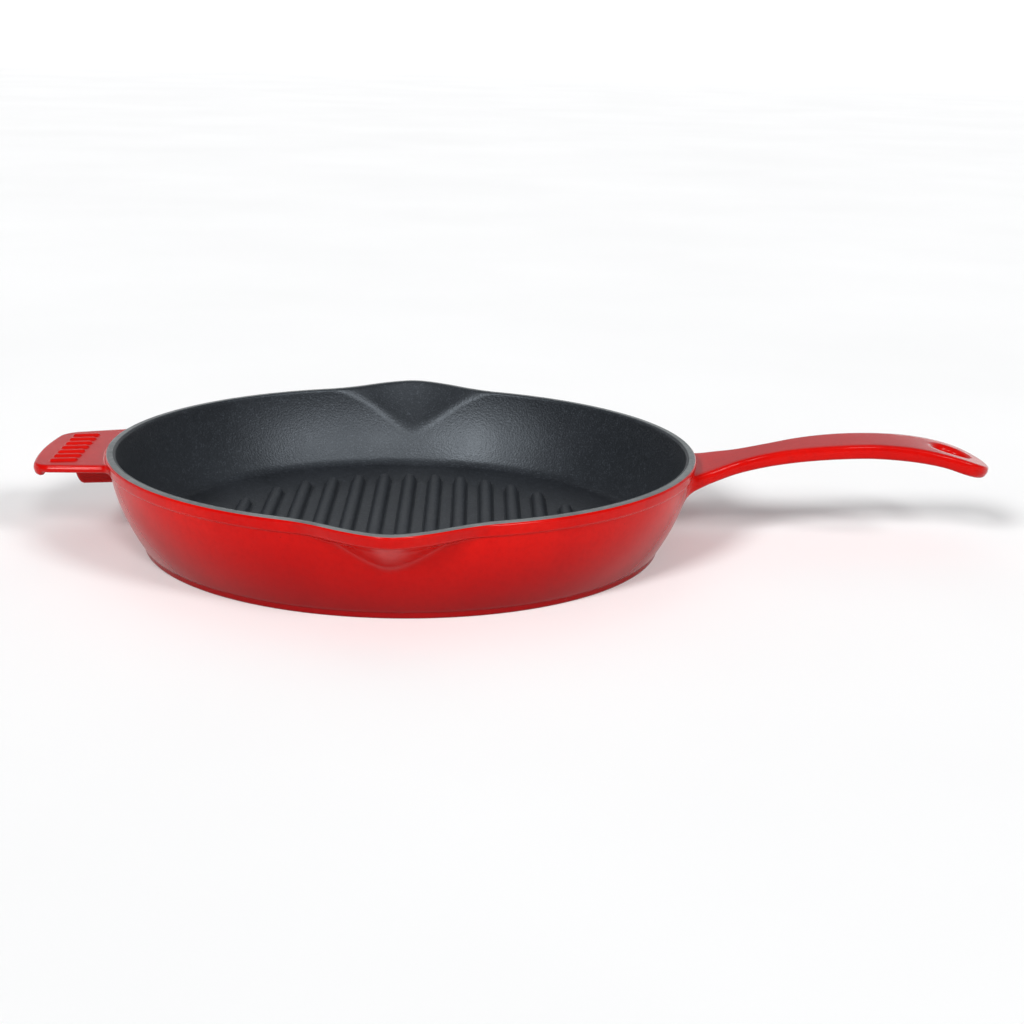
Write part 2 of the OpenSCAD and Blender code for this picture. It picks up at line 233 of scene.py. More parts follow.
def cells(nodes, links, coords, scale, smooth=None):
    """Distance to the nearest of scattered points."""
    node = nodes.new("ShaderNodeTexVoronoi")
    node.inputs["Scale"].default_value = scale
    if smooth is not None:
        node.feature = "SMOOTH_F1"
        node.inputs["Smoothness"].default_value = smooth
    links.new(coords, node.inputs["Vector"])
    return node.outputs["Distance"]


def remap(nodes, links, value, low_in, high_in, low_out, high_out):
    """A value's range stretched onto another, and clamped to it."""
    node = nodes.new("ShaderNodeMapRange")
    links.new(value, node.inputs["Value"])
    for key, number in (("From Min", low_in), ("From Max", high_in),
                        ("To Min", low_out), ("To Max", high_out)):
        node.inputs[key].default_value = number
    return node.outputs["Result"]


def times(nodes, links, a, b):
    node = nodes.new("ShaderNodeMath")
    node.operation = "MULTIPLY"
    links.new(a, node.inputs[0])
    links.new(b, node.inputs[1])
    return node.outputs["Value"]


def tones(nodes, links, value, *stops):
    """A colour ramp through (position, colour) stops."""
    node = nodes.new("ShaderNodeValToRGB")
    elements = node.color_ramp.elements
    elements.remove(elements[1])
    for i, (position, colour) in enumerate(stops):
        element = elements.new(position) if i else elements[0]
        element.position = position
        element.color = (*colour, 1)
    links.new(value, node.inputs["Fac"])
    return node.outputs["Color"]


def tint(nodes, links, amount, base, colour):
    """base with some of a fixed colour mixed in."""
    node = nodes.new("ShaderNodeMix")
    node.data_type = "RGBA"
    factor, first, second = (next(s for s in node.inputs if s.identifier == name)
                             for name in ("Factor_Float", "A_Color", "B_Color"))
    links.new(amount, factor)
    links.new(base, first)
    second.default_value = (*colour, 1)
    return next(s for s in node.outputs if s.identifier == "Result_Color")


def relief(nodes, links, shader, *heights):
    """Bumps from (height, depth in mm) pairs, one on another."""
    normal = None
    for height, depth in heights:
        node = nodes.new("ShaderNodeBump")
        node.inputs["Distance"].default_value = depth * MM
        links.new(height, node.inputs["Height"])
        if normal:
            links.new(normal, node.inputs["Normal"])
        normal = node.outputs["Normal"]
    links.new(normal, shader.inputs["Normal"])


def object_point(nodes):
    return nodes.new("ShaderNodeTexCoord").outputs["Object"]


# ---------------------------------------------------------------- finishes
def red_enamel():
    """Glossy red with a painted shade that darkens it to crimson near the foot, a soft orange peel and a few
    dark specks.
    """
    mat, nodes, links, shader = new_material("red_enamel")
    at = object_point(nodes)
    cloud = noise(nodes, links, at, 16, 4, 0.6)
    tone = tones(nodes, links, cloud, (0.30, (0.39, 0.0017, 0.0012)), (0.5, (0.445, 0.0027, 0.0015)),
                 (0.70, (0.50, 0.0043, 0.0018)))
    grain = remap(nodes, links, noise(nodes, links, at, 420, 3, 0.6), 0.45, 0.75, 0.0, 0.30)
    tone = tint(nodes, links, grain, tone, (0.27, 0.001, 0.0010))
    dots = remap(nodes, links, cells(nodes, links, at, 260), 0.05, 0.09, 1.0, 0.0)
    few = remap(nodes, links, noise(nodes, links, at, 90, 1), 0.64, 0.69, 0.0, 0.6)
    tone = tint(nodes, links, times(nodes, links, dots, few), tone, (0.08, 0.001, 0.001))
    # Painted shade: the red is darkened to crimson by height, most at the foot and fading out below the
    # collar, where the lower wall gets less light
    split = nodes.new("ShaderNodeSeparateXYZ")
    links.new(at, split.inputs["Vector"])
    painted_foot_shade = remap(nodes, links, split.outputs["Z"], 0.003, 0.036, 0.72, 0.0)
    tone = tint(nodes, links, painted_foot_shade, tone, (0.125, 0.0008, 0.0022))
    links.new(tone, shader.inputs["Base Color"])
    links.new(remap(nodes, links, cloud, 0.3, 0.7, 0.14, 0.22), shader.inputs["Roughness"])
    shader.inputs["Specular IOR Level"].default_value = 0.11
    relief(nodes, links, shader, (noise(nodes, links, at, 70, 2), 0.05),
           (noise(nodes, links, at, 380, 2), 0.009))
    return mat


def black_enamel():
    """Satin black over sandy iron, so it sparkles with fine pebbles."""
    mat, nodes, links, shader = new_material("black_enamel")
    at = object_point(nodes)
    cloud = noise(nodes, links, at, 24, 4, 0.6)
    tone = tones(nodes, links, cloud, (0.3, (0.0035, 0.0042, 0.0058)), (0.7, (0.0065, 0.0078, 0.0105)))
    flecks = times(nodes, links, remap(nodes, links, noise(nodes, links, at, 1300, 1), 0.52, 0.68, 0.0, 1.0),
                   remap(nodes, links, noise(nodes, links, at, 330, 2), 0.35, 0.65, 0.15, 0.9))
    links.new(tint(nodes, links, flecks, tone, (0.036, 0.041, 0.049)), shader.inputs["Base Color"])
    links.new(remap(nodes, links, cloud, 0.3, 0.7, 0.44, 0.54), shader.inputs["Roughness"])
    shader.inputs["Specular IOR Level"].default_value = 0.68
    shader.inputs["Specular Tint"].default_value = (0.82, 0.91, 1.0, 1)
    relief(nodes, links, shader, (noise(nodes, links, at, 420, 2), 0.04),
           (cells(nodes, links, at, 950, 0.6), 0.09), (noise(nodes, links, at, 1700, 2), 0.04))
    return mat


def ground_coat():
    """Bare grey ground coat, wiped clean on the rim."""
    mat, nodes, links, shader = new_material("grey_ground_coat")
    at = object_point(nodes)
    tone = tones(nodes, links, noise(nodes, links, at, 60, 5, 0.65),
                 (0.3, (0.085, 0.095, 0.098)), (0.7, (0.165, 0.180, 0.182)))
    links.new(tone, shader.inputs["Base Color"])
    links.new(remap(nodes, links, noise(nodes, links, at, 500, 2), 0.3, 0.7, 0.30, 0.46),
              shader.inputs["Roughness"])
    relief(nodes, links, shader, (noise(nodes, links, at, 320, 3), 0.07),
           (noise(nodes, links, at, 1200, 1), 0.02))
    return mat


def sand_cast_iron():
    """Bare iron, under the enamel and seldom seen."""
    mat, nodes, links, shader = new_material("cast_iron")
    at = object_point(nodes)
    cloud = noise(nodes, links, at, 30, 5, 0.6)
    links.new(tones(nodes, links, cloud, (0.3, (0.045, 0.045, 0.048)), (0.7, (0.100, 0.098, 0.096))),
              shader.inputs["Base Color"])
    shader.inputs["Metallic"].default_value = 0.8
    links.new(remap(nodes, links, cloud, 0.3, 0.7, 0.5, 0.7), shader.inputs["Roughness"])
    relief(nodes, links, shader, (noise(nodes, links, at, 700, 4, 0.7), 0.12))
    return mat


RED = red_enamel()
BLACK = black_enamel()
GREY = ground_coat()
IRON = sand_cast_iron()


def finish_nodes(mat, *names):
    """Gives carried-over CAD nodes a finish."""
    for name in names:
        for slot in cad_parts[name].material_slots:
            slot.material = mat


finish_nodes(IRON, "base_plate", "left_wall", "right_wall")
finish_nodes(RED, "base_enamel")


# ---------------------------------------------------------------- bowl
def revolve(face, face_share, back, back_share, theta=None):
    """A closed skin between two profiles, turned round the bowl or, where theta is given, part of it.

    A share says how much of the lip's inner shape, from 0 to 1, a profile's points follow.
    """
    whole = theta is None
    theta = bowl_angles() if whole else theta
    shell = Shell()

    def columns(profile, shares):
        made = []
        for (r, z), share in zip(profile, np.broadcast_to(shares, len(profile))):
            radii, heights = np.full(len(theta), r), np.full(len(theta), z)
            made.append(shell.add(share * place(theta, radii, heights, True)
                                  + (1 - share) * place(theta, radii, heights, False)))
        return made
    front, rear = columns(face, face_share), columns(back, back_share)
    loop = front + rear[::-1]
    if face[0][0] > 0:
        loop.append(front[0])
    shell.grid(loop, wrap=whole)
    if not whole:
        for end in (0, -1):
            shell.grid([[c[end] for c in front], [c[end] for c in rear]])
    return shell


def outer_profile():
    """The red outside: foot, wall, collar and the outer edge of the rim."""
    foot_r = wall_r(FOOT_H) - FOOT_INSET
    toe = 1.1                                  # rounding of the foot's lower edge
    foot = [[FLOOR_R, 0.0], [foot_r - 2.4, 0.0]] + arc(foot_r - toe, toe, toe, -90, 0, 8)
    foot += [[foot_r, 1.7], [foot_r, 2.2], [foot_r + 0.01, 2.45], [foot_r + 0.05, FOOT_H + 0.02]]
    # The wall rolls in a little on its way down to the foot
    roll_h = 1.6
    low_wall = [[wall_r(z) - FOOT_INSET * max(0.0, 1 - (z - FOOT_H) / roll_h) ** 2, z]
                for z in np.linspace(FOOT_H + 0.12, FOOT_H + roll_h + 0.1, 9)]
    # Its rows lie closer together under the collar, where the lip narrows to its bulge
    heights = np.concatenate([np.linspace(4.8, COLLAR_Z - 3.0, 40),
                              np.linspace(COLLAR_Z - 2.7, COLLAR_Z - 0.4, 9)])
    wall = low_wall + [[wall_r(z), z] for z in heights]
    # A soft step leads out to the collar, whose band then swells to the rim's radius
    step_r, ledge = wall_r(COLLAR_Z), 1.22
    step = [[step_r + out, COLLAR_Z + up]
            for out, up in ((-0.02, -0.15), (0.16, 0.10), (0.62, 0.36), (1.02, 0.62))]
    collar_low, collar_high = COLLAR_Z + 0.85, TOP_Z - COLLAR_ROUND - 0.05
    band = [[step_r + ledge + (RIM_R - step_r - ledge) * t ** 0.6,
             collar_low + (collar_high - collar_low) * t] for t in np.linspace(0.02, 1, 9)]
    top_edge = arc(RIM_R - COLLAR_ROUND, collar_high, COLLAR_ROUND, 8, 60, 8)
    return np.array(foot + wall + step + band + top_edge)


def red_outside():
    face = outer_profile()
    back = beside(face, SKIN)
    # The collar is solid down to the iron, and so is the foot
    back[:, 0] = np.minimum(back[:, 0], wall_r(back[:, 1]) - SKIN)
    count = int((face[:, 1] < FOOT_H).sum())
    back[:count] = np.linspace([FLOOR_R, FOOT_H], [wall_r(FOOT_H) - 1.0, FOOT_H + 0.02], count)
    new_piece("outer_red_enamel", revolve(face, 0, back, 0), RED,
              ("outer_enamel", "lip_enamel", "rim_collar", "lip_collars", "foot_ring"))


def lining_profile():
    """The black face of the wall, from the edge of the floor up to the rim."""
    slope = WALL_LEAN - 2 * WALL_BEND * (FLOOR_Z + FILLET_R / 2)
    turn = 90 - math.degrees(math.atan(slope))
    top_of_turn = FLOOR_Z + FILLET_R * (1 - math.cos(math.radians(turn)))
    bend = arc(FLOOR_R, FLOOR_Z + FILLET_R, FILLET_R, -90, turn - 90, 12)
    return bend + [[inner_r(z), z] for z in np.linspace(top_of_turn + 0.8, LINING_TOP, 46)]


def rim_roll():
    """The black over the rounding between the wall's inner face and the top of the rim."""
    inner = inner_r(LINING_TOP)
    return arc(inner + 1.10, TOP_Z - 1.08, RIM_ROUND, 172, 92, 9) + [[inner + GREY_FROM + 0.05, TOP_Z - 0.03]]


def black_inside():
    face = [[r, FLOOR_Z] for r in (0, 14, 35, 55, 72, 85, 94, 102, 110, FLOOR_R - 2.5)]
    face = np.array(face + lining_profile() + rim_roll())
    back = beside(face, -SKIN)
    back[0, 0] = 0
    new_piece("inner_black_enamel", revolve(face, 1, back, 1), BLACK,
              ("inner_enamel", "lip_linings", "floor_enamel"))


def bare_rim():
    """The grey rim, from the black lining over the top to the red collar."""
    inner = inner_r(LINING_TOP)
    face = [[inner + GREY_FROM - 0.05, TOP_Z - 0.25], [inner + GREY_FROM, TOP_Z - 0.06]]
    face += [[r, TOP_Z - 0.01] for r in np.linspace(inner + GREY_FROM + 0.12, RIM_R - COLLAR_ROUND, 6)]
    face += arc(RIM_R - COLLAR_ROUND, TOP_Z - COLLAR_ROUND - 0.01, COLLAR_ROUND, 84, 52, 5)
    face = np.array(face)
    back = beside(face, -0.5)
    span = RIM_R - 1.0 - inner

    # It follows the lip's inner shape at the lining and its outer shape at the collar
    def share(profile):
        return np.clip((RIM_R - 0.7 - profile[:, 0]) / span, 0, 1)
    shell = revolve(face, share(face), back, share(back))
    new_piece("bare_rim_coat", shell, GREY, ("rim_coat",))


def lip_irons():
    """The iron under the enamel of each pour lip, from the foot to the rim's coat."""
    half, step = 22, 0.5                       # degrees
    z = np.linspace(FOOT_H, TOP_Z - COAT, 40)
    outer = np.concatenate([[[FLOOR_R, FOOT_H]], np.stack([wall_r(z) - COAT, z], -1)])
    inner = beside(lining_profile(), -COAT)
    inner = np.concatenate([inner, [[inner_r(TOP_Z) + COAT, TOP_Z - COAT]]])
    for name, middle in (("front", -90), ("rear", 90)):
        theta = np.radians(np.arange(middle - half, middle + half + step / 2, step))
        new_piece(name + "_lip_casting", revolve(outer, 0, inner, 1, theta), IRON,
                  (name + "_pour_lip",))


red_outside()
black_inside()
bare_rim()
lip_irons()


# ---------------------------------------------------------------- ribs and grip bars
def loaf(shell, x, y, half, section, along_y, end_steps=12, lengthwise=16):
    """Adds a bar with round ends: stadium loops of [radius, height], from axis to axis."""
    angles = np.linspace(0, math.pi, end_steps + 1)[1:-1]
    run = np.linspace(-half, half, lengthwise + 1)
    rows = []
    for radius, z in section:
        loop = [(radius, t) for t in run]
        loop += [(radius * math.cos(a), half + radius * math.sin(a)) for a in angles]
        loop += [(-radius, -t) for t in run]
        loop += [(-radius * math.cos(a), -half - radius * math.sin(a)) for a in angles]
        rows.append(shell.add([(x + u, y + v, z) if along_y else (x + v, y - u, z) for u, v in loop]))
    shell.grid(rows, wrap=True)


RIB_N, RIB_PITCH, RIB_W, RIB_H = 13, 13.4, 6.8, 3.6
RIB_CIRCLE = 89.5                              # radius of the circle that the ribs end on


def ribs():
    """Cast ribs with steep sides, a round crown and a small fillet at the floor."""
    w = RIB_W / 2
    sides = [[0, -0.3], [w + 0.8, -0.3], [w + 0.8, 0.0], [w + 0.35, 0.12], [w + 0.05, 0.42], [w - 0.12, 0.95],
             [w - 0.30, 1.55], [w - 0.55, 2.15], [w - 0.95, 2.72], [w - 1.5, 3.16], [w - 2.15, 3.44],
             [w - 2.8, 3.57], [0, RIB_H]]
    shell = Shell()
    for i in range(RIB_N):
        x = (i - (RIB_N - 1) / 2) * RIB_PITCH
        half = math.sqrt((RIB_CIRCLE - w) ** 2 - x * x)
        loaf(shell, x, 0, half, [(r, FLOOR_Z + z) for r, z in sides], True)
    new_piece("grill_rib_castings", shell, BLACK, ("grill_ribs",))


ribs()


# ---------------------------------------------------------------- handles
OUTSIDE = outer_profile()
OUTSIDE = OUTSIDE[OUTSIDE[:, 1] > FOOT_H + 0.5]


def wall_x(y, z):
    """How far out along X the bowl's outer face is."""
    r = np.interp(z, OUTSIDE[:, 1], OUTSIDE[:, 0])
    return np.sqrt(np.maximum(r * r - y * y, 1.0))


def curve(stations, column, x):
    """Smooth curve through a column of listed stations, at a distance x."""
    s = np.array(stations, float)
    xs, ys = s[:, 0], s[:, column]
    slopes = np.empty(len(xs))
    slopes[1:-1] = (ys[2:] - ys[:-2]) / (xs[2:] - xs[:-2])
    slopes[0], slopes[-1] = (ys[1] - ys[0]) / (xs[1] - xs[0]), (ys[-1] - ys[-2]) / (xs[-1] - xs[-2])
    i = int(np.clip(np.searchsorted(xs, x) - 1, 0, len(xs) - 2))
    d = xs[i + 1] - xs[i]
    t = (x - xs[i]) / d
    return ((2 * t ** 3 - 3 * t ** 2 + 1) * ys[i] + (t ** 3 - 2 * t ** 2 + t) * d * slopes[i]
            + (3 * t ** 2 - 2 * t ** 3) * ys[i + 1] + (t ** 3 - t ** 2) * d * slopes[i + 1])


def edge_profile(thickness, top_r, low_r):
    """Rounded edge of a plate, as [inset, depth] from its top face to its underside."""
    swell = 0.25
    quarter = np.linspace(0, math.pi / 2, 6)
    straight = thickness - top_r - low_r
    points = [[swell + top_r * (1 - math.sin(a)), top_r * (1 - math.cos(a))] for a in quarter]
    points += [[swell * (1 - math.sin(math.pi * t)), top_r + straight * t] for t in (0.25, 0.5, 0.75)]
    points += [[swell + low_r * (1 - math.cos(a)), thickness - low_r * (1 - math.sin(a))] for a in quarter]
    return points


def section_loop(left, across):
    """A closed section from its left edge's points: over the top, down the right and back underneath."""
    right = [[p[0], -p[1], p[2]] for p in left]
    t = np.linspace(0, 1, across + 1)[1:-1, None]
    top = np.array(left[0]) * (1 - t) + np.array(right[0]) * t
    under = np.array(right[-1]) * (1 - t) + np.array(left[-1]) * t
    return np.array([left[0], *top, *right, *under, *left[:0:-1]])


def loop_sides(loop, across, edge):
    """A section's four sides: top, right edge, underside and left edge, all read from the top left."""
    top = loop[:across + 1]
    right = loop[across:across + edge]
    under = loop[across + edge - 1:2 * across + edge][::-1]
    left = [loop[0]] + loop[2 * across + edge - 1:][::-1]
    return top, right, under, left


class Plate:
    """A handle that grows out of the bowl along +X: a plate that follows a centreline in side view."""

    def __init__(self, top, thickness, profile, across):
        self.top, self.thickness, self.profile = top, thickness, profile
        self.across = across
        self.edge = len(profile(thickness(CUT_X), 0))  # the count is the same all along
        self.shell = Shell()

    def at(self, x, y, down):
        """The point under (x, y) of the top face, square to the centreline."""
        reach = 0.4
        climb = math.atan((self.top(x + reach) - self.top(x - reach)) / (2 * reach))
        return [x + down * math.sin(climb), y, self.top(x) - down * math.cos(climb)]

    def column(self, x, y, nx, ny, lip=0.0):
        """The edge's points at a point of the plan outline, whose outward normal is (nx, ny)."""
        return [self.at(x - nx * inset, y - ny * inset, down)
                for inset, down in self.profile(self.thickness(x), lip)]

    def loop(self, x, half, slope=0.0):
        """A closed section at x, where the outline is half wide and widens by slope."""
        n = math.hypot(1, slope)
        return section_loop(self.column(x, half, -slope / n, 1 / n), self.across)

    def sides(self, loop):
        return loop_sides(loop, self.across, self.edge)

    def root(self, loops, fillet):
        """Lays the section loops, flares them onto the bowl and closes that end. Returns the rows."""
        rows = [self.shell.add(loop) for loop in wall_join(loops, fillet)]
        self.shell.grid(rows, wrap=True)
        top, right, under, left = self.sides(rows[-1])
        self.shell.patch(top, under, left, right, settle=onto_wall)
        return rows


SINK = 0.35                                    # how far a handle's end is let into the bowl's outer face


def onto_wall(p):
    """Moves a point onto the bowl's outer face, a little let in."""
    return (wall_x(p[1], p[2]) - SINK, p[1], p[2])


def wall_join(loops, fillet, steps=7):
    """Cuts section loops off at the bowl and flares them onto it with a fillet.

    loops run from the outside in, and the last of them lie inside the bowl.
    fillet(up) is its size where the section's normal points up by that much, from -1 to 1.
    """
    loops = np.array(loops)
    m = loops.shape[1]
    blend = np.empty((steps + 1, m, 3))
    for k in range(m):
        line = loops[:, k]
        gap = line[:, 0] - wall_x(line[:, 1], line[:, 2])
        i = int(np.argmax(gap < 0))
        t = gap[i - 1] / (gap[i - 1] - gap[i])
        hit = line[i - 1] + t * (line[i] - line[i - 1])
        side = (loops[i, (k + 1) % m] - loops[i, k - 1])[1:]
        normal = np.array([side[1], -side[0]]) / (np.linalg.norm(side) + 1e-9)
        if normal @ (line[i, 1:] - loops[i, :, 1:].mean(0)) < 0:
            normal = -normal
        size = fillet(normal[1])
        start = np.array([np.interp(hit[0] + size, line[::-1, 0], line[::-1, c]) for c in range(3)])
        yz = hit[1:] + normal * size
        end = np.array([wall_x(*yz), *yz])
        for j, s in enumerate(np.linspace(0, 1, steps + 1)):
            blend[j, k] = (1 - s) ** 2 * start + 2 * s * (1 - s) * hit + s * s * end
    kept = [loop for loop in loops if (loop[:, 0] > blend[0, :, 0].max() + 0.8).all()]
    tuck = blend[-1].copy()
    tuck[:, 0] -= SINK
    return kept + list(blend) + [tuck]


# Long handle: [distance out, half width, height of the top, thickness]
LONG = [[126, 31, 36.8, 8.6], [132, 27.5, 37.8, 8.0], [138, 24, 39, 7.4], [145, 20, 40.3, 6.4],
        [152, 16.6, 42.1, 6.2], [161, 12.6, 44.3, 6.4], [175, 11, 47.6, 6.8], [191, 12.6, 50.6, 6.9],
        [208, 14.1, 52.5, 6.9], [224, 14.3, 53.3, 7.1], [240, 15.9, 52.7, 7], [252, 17.7, 51.1, 6.6],
        [260, 18.8, 49.4, 6.4], [266, 19, 47.8, 6.7], [273, 19, 45.5, 6.7], [282.4, 19, 41.8, 6.2]]
TIP_X = high("long_handle")[0] - 0.1
CROWN_DROP = 0.02                              # keeps the top of its arch inside the CAD frame's box
LONG_ROUND, LONG_UNDER_ROUND = 1.5, 2.2        # rounding of its edges, above and below
CUT_X = 238.0                                  # past here the two faces are rings round the hanging hole
PADDLE_X = 266.0                               # past here the sides close in on the tip
TIP_POWER = 2.3                                # squareness of the tip, where 2 is an ellipse
HOLE_X, HOLE_R = 263.6, 8.0                    # the hanging hole
HOLE_ROUND, HOLE_UNDER_ROUND = 3.2, 2.2        # rounding of its edges, above and below


def hole_edge(x, y):
    """The hanging hole's edge point in the direction of (x, y), with its normal: [x, y, nx, ny]."""
    angle = math.atan2(y, x - HOLE_X)
    c, s = math.cos(angle), math.sin(angle)
    return HOLE_X + HOLE_R * c, HOLE_R * s, c, s


def long_handle():
    """The long handle, from its flare at the bowl to the tip, with the hanging hole through it."""
    plate = Plate(lambda x: curve(LONG, 2, x) - CROWN_DROP, lambda x: curve(LONG, 3, x),
                  lambda t, lip: edge_profile(t, LONG_ROUND, LONG_UNDER_ROUND), across=12)
    shell = plate.shell

    def half(x):
        return curve(LONG, 1, x)

    def spread(x, reach=0.3):
        return (half(x + reach) - half(x - reach)) / (2 * reach)
    # Sections from the paddle inwards, closer together near the bowl
    xs = np.concatenate([np.arange(CUT_X, 156, -2.5), np.arange(155.5, 126.5, -1.0)])
    rows = plate.root([plate.loop(x, half(x), spread(x)) for x in xs], lambda up: 3.9 - 1.7 * up)

    # Both edges run on round the tip, which is a superellipse
    wide, length, power = half(PADDLE_X), TIP_X - PADDLE_X, 2 / TIP_POWER
    outline = [[x, half(x)] for x in np.arange(CUT_X, PADDLE_X, 2.4)]
    outline += [[PADDLE_X + length * math.sin(a) ** power, wide * math.cos(a) ** power]
                for a in np.linspace(0.02, math.pi / 2, 26)[:-1]]
    outline = np.array(outline + [[TIP_X, 0.0]])
    tangent = np.gradient(outline, axis=0)
    tangent[-1] = (0, -1)
    tangent /= np.linalg.norm(tangent, axis=1)[:, None]
    near = [plate.column(x, y, -ty, tx) for (x, y), (tx, ty) in zip(outline, tangent)][1:]
    far = [[[x, -y, z] for x, y, z in column] for column in near[:-1]]
    top, right, under, left = plate.sides(rows[0])
    left_columns = [left] + [shell.add(column) for column in near]
    right_columns = [right] + [shell.add(column) for column in far] + [left_columns[-1]]
    shell.grid(left_columns)
    shell.grid(right_columns)

    # Each face is rings from its outline to the hole, and a fillet leads into the hole
    low_x = np.arange(CUT_X - 4, TIP_X + 1, 0.5)
    low_points = np.array([plate.at(x, 0, plate.thickness(x)) for x in low_x])
    hole_rims = []
    for face, k, sign, soft in ((top, 0, 1, HOLE_ROUND), (under, -1, -1, HOLE_UNDER_ROUND)):
        outer = list(face) + [c[k] for c in right_columns[1:]] + [c[k] for c in left_columns[-2:0:-1]]
        edges = [hole_edge(*shell.points[i][:2]) for i in outer]

        def surface(x):
            return plate.top(x) if sign > 0 else float(np.interp(x, low_points[:, 0], low_points[:, 2]))
        rings = [outer]
        for t in (0.3, 0.6, 0.85):
            points = []
            for i, (hx, hy, nx, ny) in zip(outer, edges):
                x, y = shell.points[i][:2]
                px = x + t * (hx + nx * soft - x)
                points.append((px, y + t * (hy + ny * soft - y), surface(px)))
            rings.append(shell.add(points))
        for a in np.linspace(0, math.pi / 2, 9):
            out, down = soft * (1 - math.sin(a)), soft * (1 - math.cos(a))
            rings.append(shell.add([(hx + nx * out, hy + ny * out, surface(hx + nx * out) - sign * down)
                                    for hx, hy, nx, ny in edges]))
        shell.grid(rings, wrap=True)
        hole_rims.append(rings[-1])
    shell.grid(hole_rims, wrap=True)
    new_piece("long_handle_casting", shell, RED, ("long_handle", "handle_root"))


def mirrored(shell):
    """The shell on the other side of the bowl."""
    shell.points = [(-x, y, z) for x, y, z in shell.points]
    return shell


HELPER_X = 172.8                               # reach of the outer edge, an arc about the bowl's axis
HELPER_MID, HELPER_TOP = 155.8, TOP_Z - 4.0    # halfway along the plate, and its height there
HELPER_HALF, HELPER_CORNER = 36.2, 11.0        # half width there, and radius of the outer corners
HELPER_TAPER, HELPER_DROOP = math.radians(8.5), math.radians(2.8)
HELPER_T, HELPER_LIP = 3.6, 2.0                # thickness, and depth of the turned-down edge


def tipped(points):
    """Points modelled on a level handle, dropped away from the bowl with it."""
    p = np.array(points, float)
    dx, dz = p[:, 0] - HELPER_MID, p[:, 2] - HELPER_TOP
    c, s = math.cos(HELPER_DROOP), math.sin(HELPER_DROOP)
    return np.stack([HELPER_MID + dx * c + dz * s, p[:, 1], HELPER_TOP - dx * s + dz * c], -1)


def helper_plate():
    """The short handle's plate, whose outer edge turns down."""
    def profile(thickness, lip):
        """The plate's edge, and then the turned-down part's inner side, back to the plate."""
        bead = lip / HELPER_LIP
        points = edge_profile(thickness + lip, 1.2, 1.3 + 0.5 * bead)
        inner = ((2.7, 1.0), (3.2, 0.94), (3.6, 0.72), (3.9, 0.38), (4.2, 0.1), (4.7, 0.0))
        return points + [[inset, thickness + share * lip] for inset, share in inner]
    spread = math.tan(HELPER_TAPER)
    plate = Plate(lambda x: HELPER_TOP - (x - HELPER_MID) * math.tan(HELPER_DROOP), lambda x: HELPER_T,
                  profile, across=36)
    shell = plate.shell

    def half(x):
        return HELPER_HALF + (HELPER_MID - x) * spread
    # The corner's centre lies this far off the X axis, and its circle touches the side
    centre_r = HELPER_X - HELPER_CORNER
    off = math.asin((half(0) * math.cos(HELPER_TAPER) - HELPER_CORNER) / centre_r) - HELPER_TAPER
    cx, cy = centre_r * math.cos(off), centre_r * math.sin(off)
    start = cx + HELPER_CORNER * math.sin(HELPER_TAPER)
    rows = plate.root([plate.loop(x, half(x), -spread) for x in np.arange(start, 124, -1.0)],
                      lambda up: 3.2 - 1.3 * max(up, 0.0))

    # Round the outside: an arc at each corner and a slow arc between
    corner_steps, edge_steps = 24, 12
    outline = [(cx + HELPER_CORNER * math.cos(a), cy + HELPER_CORNER * math.sin(a), math.cos(a), math.sin(a))
               for a in np.linspace(math.pi / 2 - HELPER_TAPER, off, corner_steps + 1)[1:]]
    outer = [(HELPER_X * math.cos(a), HELPER_X * math.sin(a), math.cos(a), math.sin(a))
             for a in np.linspace(off, -off, edge_steps + 1)[1:-1]]
    outline += outer + [(x, -y, nx, -ny) for x, y, nx, ny in outline[::-1]]
    top, right, under, left = plate.sides(rows[0])
    columns = [left]
    for x, y, nx, ny in outline:
        # The turned-down part fades away partway round each corner
        t = float(np.clip((nx - 0.50) / 0.24, 0, 1))
        columns.append(shell.add(plate.column(x, y, nx, ny, HELPER_LIP * t * t * (3 - 2 * t))))
    columns.append(right)
    shell.grid(columns)
    # Each face is a patch whose outer side runs between the middles of the two corners
    side = corner_steps // 2
    for face, k in ((top, 0), (under, -1)):
        rim = [c[k] for c in columns]
        shell.patch(face, rim[side:len(rim) - side], rim[:side + 1], rim[:-side - 2:-1])
    new_piece("helper_plate_casting", mirrored(shell), RED,
              ("helper_handle", "helper_lip"))


